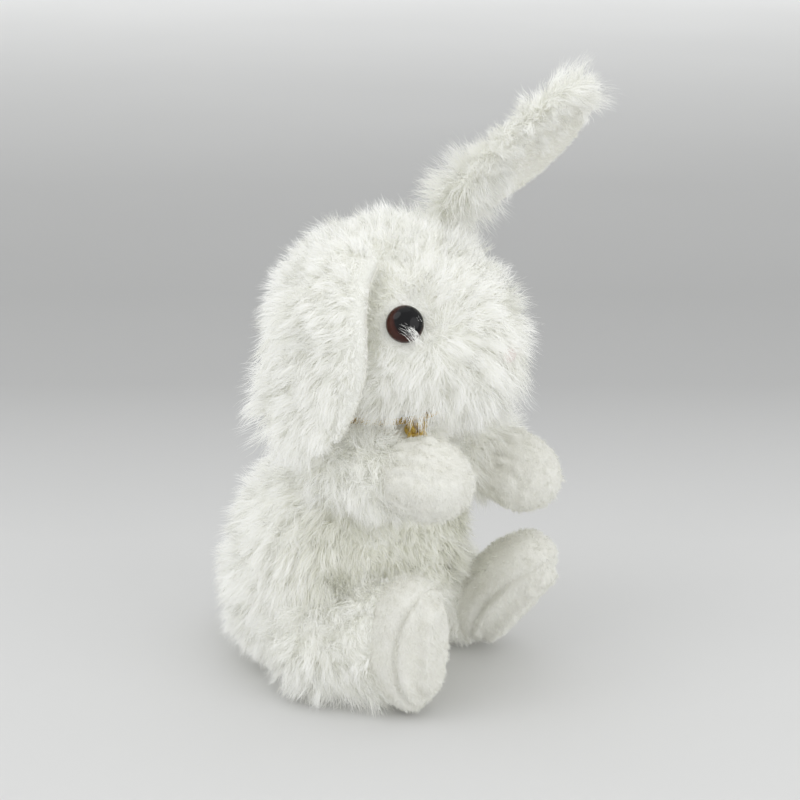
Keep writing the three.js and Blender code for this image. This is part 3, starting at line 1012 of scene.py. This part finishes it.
def plant(name, body, coat, skin, style, flow_of, seed, keep=None, trees=(), clear=None, painted_shade=None):
    """Pile grown on one skin and riding on its body, in pieces. flow_of gives the lie of the pile at
    each root, keep the share that grows, trees what buries roots, clear the paths that stay, and
    the last argument the share of strands in the darker coat that paints shade."""
    rng = np.random.default_rng(seed)
    roots, normals = scatter(skin, style["density"], rng)
    stays = np.ones(len(roots), bool)
    if keep is not None:
        stays &= rng.random(len(roots)) < keep(roots, normals)
    if trees:
        stays[stays] = ~buried(roots[stays], trees)
    roots, normals = roots[stays], normals[stays]
    flow = flow_of(roots, normals)
    flow -= normals * np.sum(flow * normals, axis=1, keepdims=True)
    if callable(style["length"]):
        style = dict(style, length=style["length"](roots, normals))
    paths = tufted(roots - normals * ROOT_DEPTH, normals, flow, style, rng)
    if clear is not None:
        stays = clear(paths)
        roots, normals, paths = roots[stays], normals[stays], paths[stays]
    # the darker coat paints shade on its share of the strands
    if painted_shade is not None:
        shaded = rng.random(len(paths)) < painted_shade(roots)
        sections(f"{name}_matted", body, roots[shaded], normals[shaded], paths[shaded], style, PAINTED_SHADE_FUR, rng)
        roots, normals, paths = roots[~shaded], normals[~shaded], paths[~shaded]
    sections(name, body, roots, normals, paths, style, coat, rng)


def lying(way):
    """Flow that is the same everywhere."""
    return lambda roots, normals: np.tile(way, (len(roots), 1))


# ---- pile of each part


def close_to(point, roots, full, none):
    """1 within full mm of a point, and 0 beyond none mm."""
    return 1 - smooth_step(gap_to(point, roots), full * MM, none * MM)


def away_from(point, strength):
    """Flow that leads away from a point."""
    return lambda roots, normals: unit(roots - np.array(point)) * strength


def clear_of_knot(roots):
    """Share of the pile's length that is left round the knot, so that it shows."""
    return 0.2 + 0.8 * smooth_step(gap_to(KNOT, roots), 10 * MM, 19 * MM)


def clear_of_cord(paths):
    """False for strands that would pass over the knot."""
    out = unit((KNOT - joint_at("neck_turn")) * (1, 1, 0))
    return np.linalg.norm(paths - KNOT - (out + UP) * 3 * MM, axis=2).min(1) > KNOT_CLEAR


def clear_of_eyes(paths):
    """False for strands that would lie over an eye."""
    stays = np.ones(len(paths), bool)
    for eye, axis in EYES:
        offset = paths - eye
        height = offset @ axis
        flat = offset - height[..., None] * axis
        over = (np.linalg.norm(flat, axis=2) < EYE_CLEAR) & (height > -2 * MM)
        stays &= ~over.any(1)
    return stays


def body_length(roots, normals):
    """Long on the back and flanks, short on the belly between the limbs."""
    belly = smooth_step(-normals[:, 1], 0.35, 0.75) * (1 - smooth_step(roots[:, 0], 0, 14 * MM))
    under = smooth_step(-normals[:, 2], 0.5, 0.9)
    length = BODY_PILE - (BODY_PILE - BELLY_PILE) * np.maximum(belly, under * 0.8)
    return length * (0.5 + 0.5 * smooth_step(roots[:, 2], 4 * MM, 28 * MM)) * clear_of_knot(roots)


def waist(roots):
    """Share of strands in the darker coat round the front of the waist: painted shade under the arm and
    above the thigh.
    """
    front = 1 - smooth_step(roots[:, 1], -28 * MM, 0)
    level = smooth_step(roots[:, 2], 26 * MM, 42 * MM) * (1 - smooth_step(roots[:, 2], 70 * MM, 90 * MM))
    return 0.8 * front * level


def grow_torso():
    style, flow = dict(LONG, length=body_length), lying(DOWN * 0.8)
    plant("torso_fur", "torso", FUR, torso, style, flow, 11, None, in_the_rest, clear_of_cord, waist)


def face_flow(roots, normals):
    """Away from a whorl between each eye and the nose, and down over the nose."""
    flow = np.zeros_like(roots)
    for (eye, _), side in zip(EYES, SIDES.values()):
        whorl = eye + (NOSE - eye) * 0.3 + DOWN * 4 * MM
        mine = (roots[:, 0] >= 0) == (side > 0)
        flow[mine] = unit(roots[mine] - whorl)
    over_nose = 1 - smooth_step(np.linalg.norm(roots - NOSE - UP * 4 * MM, axis=1), 6 * MM, 15 * MM)
    flow = flow * (1 - over_nose)[:, None] + DOWN * over_nose[:, None] * 1.3
    neck = joint_at("neck_turn")[1]
    rear = smooth_step(roots[:, 1], neck - 10 * MM, neck + 15 * MM)
    return flow * (0.9 - 0.45 * rear)[:, None]


def room_under_ear(roots):
    """Distance from each root to the hanging ear."""
    ear = tree_of(ear_linings["right"])
    out = np.full(len(roots), 1.0)
    for i, p in enumerate(roots):
        near, _, _, gap = ear.find_nearest(Vector(p), 0.02)
        if near is not None:
            out[i] = gap
    return out


def face_length(roots, normals):
    """Short in the eye sockets and under the hanging ear, long elsewhere and on the muzzle."""
    front = close_to(NOSE, roots, 8, 26)
    chin = smooth_step(NOSE[1] + 30 * MM - roots[:, 1], 0, 12 * MM)
    chin = chin * smooth_step(NOSE[2] - roots[:, 2], 0, 8 * MM)
    ear_root = joint_at("ear_left_fold") + np.array((0, 10, 0)) * MM
    by_ear = close_to(ear_root, roots, 8, 22)
    length = HEAD_PILE * (1 + 0.2 * front + 0.35 * chin + 0.6 * by_ear)
    for eye, _ in EYES:
        ahead = (roots - eye) @ unit(NOSE - eye)
        reach = gap_to(eye, roots) + np.maximum(ahead, 0) * 0.4
        grown = SOCKET_PILE + (1.6 * HEAD_PILE - SOCKET_PILE) * smooth_step(reach, 8 * MM, 21 * MM)
        length = np.minimum(length, grown)
    room = room_under_ear(roots)
    return np.minimum(length * clear_of_knot(roots), np.maximum(room * 0.75, SOCKET_PILE))


def behind_eyes(roots):
    """Share of strands in the darker coat between each eye and its ear: painted shade where the ear shades
    the cheek.
    """
    share = np.zeros(len(roots))
    for eye, _ in EYES:
        back = (eye - roots) @ unit(NOSE - eye)
        share = np.maximum(share, 0.8 * close_to(eye, roots, 13, 26) * smooth_step(back, 1 * MM, 7 * MM))
    return share


def grow_head():
    """Pile of the head, and a few wisps that cross the low front of each eye."""
    def clear(paths):
        return clear_of_eyes(paths) & clear_of_cord(paths)

    style = dict(LONG, length=face_length)
    plant("head_fur", "head", FUR, head, style, face_flow, 12, None, in_torso, clear, behind_eyes)
    surface = tree_of(head)
    for n, (side, (eye, _)) in enumerate(zip(SIDES, EYES)):
        low_front = unit(unit(NOSE - eye) + DOWN * 0.8)
        start = np.array(surface.find_nearest(Vector(eye + low_front * WISP_START))[0])

        def flow(roots, normals):
            return unit(eye + UP * 1 * MM - roots)

        def keep(roots, normals):
            return gap_to(start, roots) < WISP_REACH

        plant(f"eye_{side}_wisps", "head", FUR, head, WISP, flow, 80 + n, keep)


def grow_tail():
    root = middle("tail_cover") - np.array((0, 12, 0)) * MM
    style = dict(LONG, length=TAIL_PILE)
    plant("tail_fur", "torso", FUR, tail, style, away_from(root, 0.8), 13, trees=in_torso)


def grow_arm(side, n):
    shoulder = joint_at(f"arm_{side}_swing")
    way = unit(middle(f"arm_{side}_paw") - shoulder) * 0.8 + DOWN * 0.3
    style = dict(LONG, length=lambda roots, normals: ARM_PILE[side] * clear_of_knot(roots))
    body = f"arm_{side}"
    plant(f"{body}_fur", body, FUR, sleeves[side], style, lying(way), 20 + n, trees=in_torso)


def leg_length(side):
    """Long, but short round the top and inner side of the ankle."""
    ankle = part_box(f"leg_{side}_sleeve")[0].y

    def length(roots, normals):
        near = 1 - smooth_step(roots[:, 1] - ankle, 3 * MM, 16 * MM)
        outer = smooth_step(-normals[:, 2], -0.1, 0.5)
        outer = outer * smooth_step(normals[:, 0] * SIDES[side], -0.2, 0.4)
        return LEG_PILE * (1 - 0.65 * near * (1 - outer))

    return length


def grow_leg(side, n):
    rump = joint_at(f"leg_{side}_splay") + np.array((0, 18, 16)) * MM
    style = dict(LONG, length=leg_length(side))
    body = f"leg_{side}"
    plant(f"{body}_fur", body, FUR, thighs[side], style, away_from(rump, 0.9), 30 + n, trees=in_torso)


def grow_plush(side, n):
    """Short plush of a paw and a foot."""
    for part, skin, limb in (
        ("paw", paws[side], "arm"),
        ("foot", uppers[side], "leg"),
        ("sole", soles[side], "leg"),
    ):
        name = f"{part}_{side}_plush"
        plant(name, f"{limb}_{side}", PLUSH, skin, SHORT, lying(PLUSH_WAY), 40 + n)


def facing_away(other):
    """Keeps roots whose skin doesn't face the other layer of the ear."""
    tree = tree_of(other)

    def keep(roots, normals):
        keeps = np.ones(len(roots))
        for i, (p, nrm) in enumerate(zip(roots, normals)):
            near = tree.find_nearest(Vector(p))[0]
            if (near - Vector(p)).normalized().dot(Vector(nrm)) > 0.5:
                keeps[i] = 0
        return keeps

    return keep


def ear_place(side, roots):
    """(share of the length, place across from -1 to 1) of points on an ear."""
    root = joint_at(EAR_JOINT[side])
    cloud = points_of(ear_backs[side])
    far = gap_to(root, cloud)
    whole = far.max()
    across = np.array(EAR_ACROSS[side])
    reach = gap_to(root, roots) / whole
    bins = np.clip((far / whole * EAR_BINS).astype(int), 0, EAR_BINS - 1)
    sway = (cloud - root) @ across
    edges = np.array([(sway[bins == k].min(), sway[bins == k].max()) for k in range(EAR_BINS)])
    at = np.clip(reach * EAR_BINS - 0.5, 0, EAR_BINS - 1)
    low = np.interp(at, np.arange(EAR_BINS), edges[:, 0])
    high = np.interp(at, np.arange(EAR_BINS), edges[:, 1])
    place = 2 * ((roots - root) @ across - low) / np.maximum(high - low, 1e-6) - 1
    return reach, np.clip(place, -1, 1)


def ear_flow(side, spread, stands=1.0, sleek=0.0):
    """Along the ear, less near its root, more by sleek at its tip, and out to its edges by spread."""
    root = joint_at(EAR_JOINT[side])
    across = np.array(EAR_ACROSS[side])

    def flow(roots, normals):
        reach, place = ear_place(side, roots)
        lies = stands + (1 - stands) * smooth_step(reach, 0.2, 0.75)
        lies = lies + sleek * smooth_step(reach, 0.65, 0.95)
        return unit(roots - root) * lies[:, None] + across * spread(reach, place)[:, None]

    return flow


def grow_fold(body, back, lining, seed):
    """Long pile that comes round the raised ear's upper edge onto its lining."""
    outer = facing_away(back)

    def keep(roots, normals):
        place = ear_place("left", roots)[1]
        return outer(roots, normals) * smooth_step(-place, 0.4, 0.75)

    # painted shade: strands near the ear's root take the darker coat, in the fold
    def shade(roots):
        return 0.8 - 0.8 * smooth_step(ear_place("left", roots)[0], 0.2, 0.5)

    style = dict(EAR_LONG, length=8.5 * MM, lift=0.8)
    flow = ear_flow("left", lambda reach, place: 0.4 - 0.7 * smooth_step(-place, 0.5, 0.9))
    plant(f"{body}_fold_fur", body, FUR, lining, style, flow, seed, keep, painted_shade=shade)


def grow_ear(side, n):
    """Long pile on the back of an ear and short plush on its lining, each with its own edge."""
    body = f"ear_{side}"
    back, lining = ear_backs[side], ear_linings[side]
    if side == "right":
        # the front edge is bare of long pile, and the rear edge has the longest
        def length(roots, normals):
            reach, place = ear_place(side, roots)
            grown = 2 + 9 * smooth_step(-place, -0.95, -0.45) + 4 * smooth_step(-place, 0.3, 0.9)
            return grown * MM * (1 - 0.25 * (1 - smooth_step(reach, 0.0, 0.3)))

        def spread(reach, place):
            return -0.35 - 0.3 * np.abs(place)
    else:
        def length(roots, normals):
            reach, place = ear_place(side, roots)
            root_part = (1 - smooth_step(reach, 0.2, 0.7)) * (1 - smooth_step(place, -0.1, 0.4))
            grown = 6.5 + 7.5 * smooth_step(reach, 0.75, 1.0) + 12.5 * root_part
            low_edge = smooth_step(place, 0.35, 0.8) * (1 - smooth_step(reach, 0.8, 0.95))
            return (grown * (1 - 0.75 * low_edge)) * MM

        def spread(reach, place):
            return 0.15 * place
    style = dict(EAR_LONG, length=length)
    flow = ear_flow(side, spread, 0.2, 1.6 if side == "left" else 0.0)
    plant(f"{body}_fur", body, FUR, back, style, flow, 50 + n, facing_away(lining))
    flow = ear_flow(side, lambda reach, place: 0.1 * place)
    plant(f"{body}_plush", body, LINING, lining, SHORT, flow, 60 + n, facing_away(back))
    if side == "left":
        grow_fold(body, back, lining, 70 + n)


# ---- the rabbit


make_camera()
make_stage()
make_lights()
bpy.context.scene.view_settings.view_transform = "Standard"
bpy.context.scene.cycles.diffuse_bounces = LIGHT_BOUNCES

# coats: a strand material, from root to tip, and its slot
FUR = (
    strand_material("long_pile", (0.91, 0.91, 0.87), (0.965, 0.965, 0.95), (0.98, 0.98, 0.975), 0.05),
    "fur",
)
PLUSH = (
    strand_material("short_pile", (0.84, 0.835, 0.78), (0.88, 0.878, 0.845), (0.9, 0.898, 0.87), 0.01),
    "short_plush",
)
# darker, olive strands that paint shade in creases: round the waist, between eyes and ears, and in the
# raised ear's fold
PAINTED_SHADE_FUR = (
    strand_material("painted_shade_pile", (0.78, 0.775, 0.68), (0.9, 0.9, 0.835), (0.93, 0.93, 0.88), 0.015),
    "fur",
)
LINING = (
    strand_material("lining_pile", (0.89, 0.885, 0.83), (0.93, 0.93, 0.9), (0.95, 0.95, 0.92), 0.04),
    "short_plush",
)
UNDER = (cloth_material("underpile", (0.86, 0.86, 0.8), (0.93, 0.93, 0.89), 900.0, 0.3 * MM), "fur")
VELVET = (
    cloth_material("plush_cloth", (0.82, 0.81, 0.76), (0.88, 0.875, 0.83), 1500.0, 0.15 * MM),
    "short_plush",
)

panels = ["base_panel", "belly_panel", "back_panel"]
torso = make_core("torso_skin", panels, ["body_stuffing"], TORSO_VOXEL, 8, 1 * MM, 1 * MM)
dress(torso, "torso", UNDER)
panels = ["head_gusset", "head_side_left", "head_side_right"]
inside = ["head_stuffing", "eye_washer_left", "eye_washer_right"]
head = make_core("head_skin", panels, inside, TORSO_VOXEL, 8, 1 * MM, 1 * MM)
dress(head, "head", UNDER)
tail = make_core("tail_skin", ["tail_cover"], ["tail_stuffing"], LIMB_VOXEL, 4, 0.5 * MM, 0.8 * MM)
dress(tail, "torso", UNDER)
sleeves, paws, thighs, uppers, soles, ear_backs, ear_linings = {}, {}, {}, {}, {}, {}, {}
for side in SIDES:
    sleeves[side], paws[side] = arm_parts(side)
    thighs[side], uppers[side], soles[side] = leg_parts(side)
    dress(sleeves[side], f"arm_{side}", UNDER)
    dress(paws[side], f"arm_{side}", VELVET)
    dress(thighs[side], f"leg_{side}", UNDER)
    dress(uppers[side], f"leg_{side}", VELVET)
    dress(soles[side], f"leg_{side}", VELVET)
    ear_backs[side] = dress(ear_layer(side, "back"), f"ear_{side}", UNDER)
    ear_linings[side] = dress(ear_layer(side, "lining"), f"ear_{side}", VELVET)

NOSE = middle("nose")
EYES = [eye_frame(s)[:2] for s in SIDES]
EAR_ACROSS = {"left": unit((0.95, 0, -0.31)), "right": np.array((0.0, -1.0, 0.0))}
eye_gloss = eye_material()
for side in SIDES:
    make_eye(side, eye_gloss)
make_nose()
KNOT = make_cord()

in_torso = [tree_of(torso)]
in_the_rest = [tree_of(part) for part in (head, *sleeves.values(), *thighs.values())]
grow_torso()
grow_head()
grow_tail()
for n, side in enumerate(SIDES):
    grow_arm(side, n)
    grow_leg(side, n)
    grow_plush(side, n)
    grow_ear(side, n)
